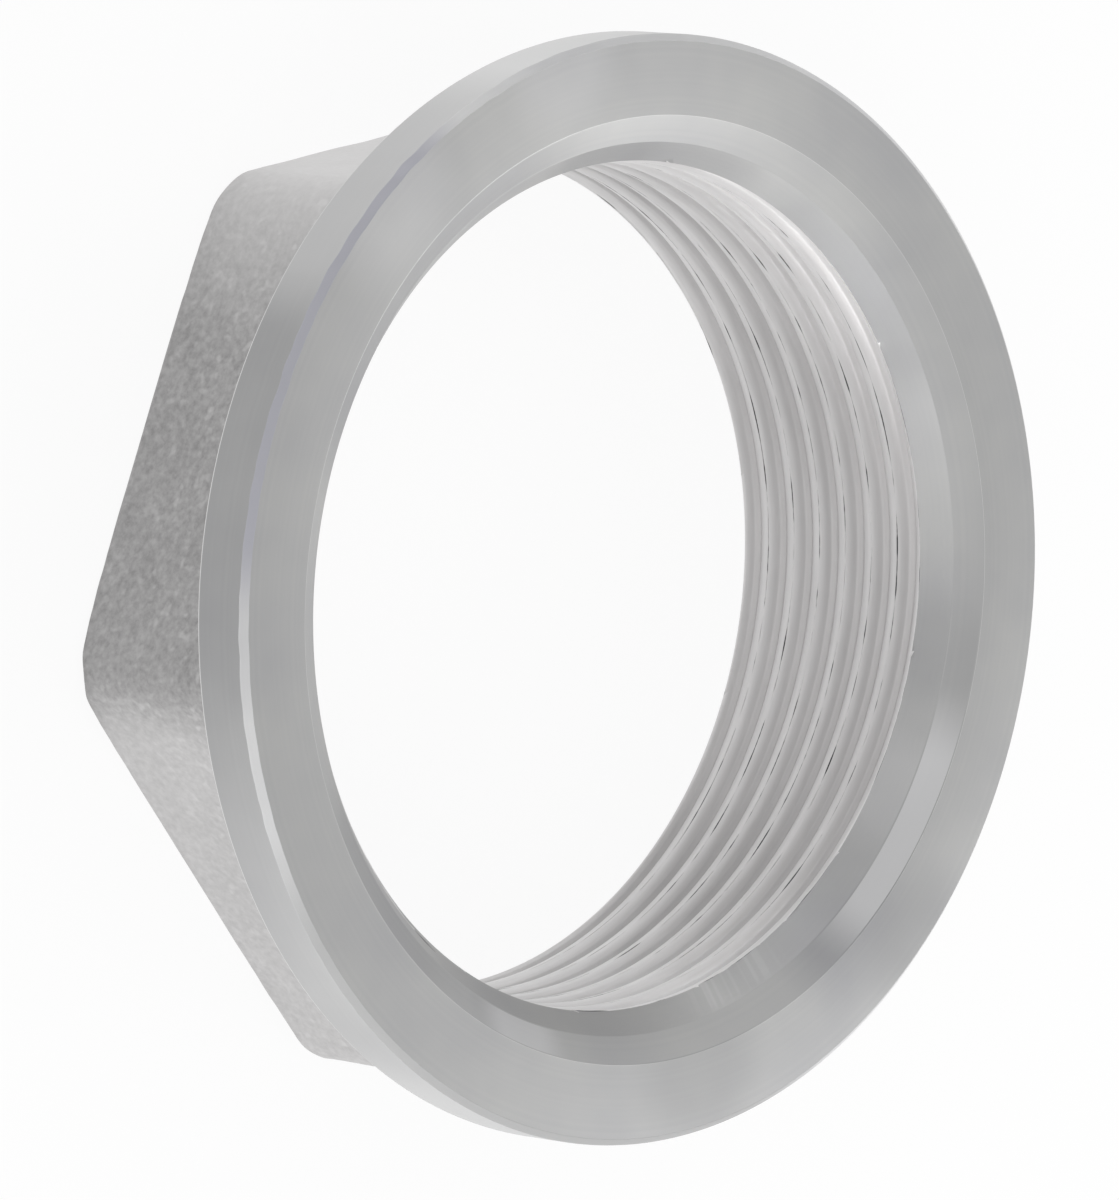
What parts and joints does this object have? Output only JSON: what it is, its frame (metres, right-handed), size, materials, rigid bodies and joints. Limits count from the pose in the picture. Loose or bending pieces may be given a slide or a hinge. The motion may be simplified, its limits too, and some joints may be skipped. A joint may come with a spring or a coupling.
{
  "type": "flanged hexagon lock nut",
  "caption": "Cast hexagon nut with a round turned flange, a coned mouth and a through thread, for locking a threaded pipe or fitting against a panel.",
  "frame": {"origin": "centre of the hexagon's free end, on the bore axis", "axes": "+Z along the bore axis out of the flange face, +X through a corner of the hexagon"},
  "size_m": [0.0688, 0.0688, 0.0185],
  "materials": {
    "cast_steel": "cast and blasted hexagon, turned flange and thread"
  },
  "bodies": {
    "root": {"lock_nut": "cast_steel"}
  },
  "joints": []
}
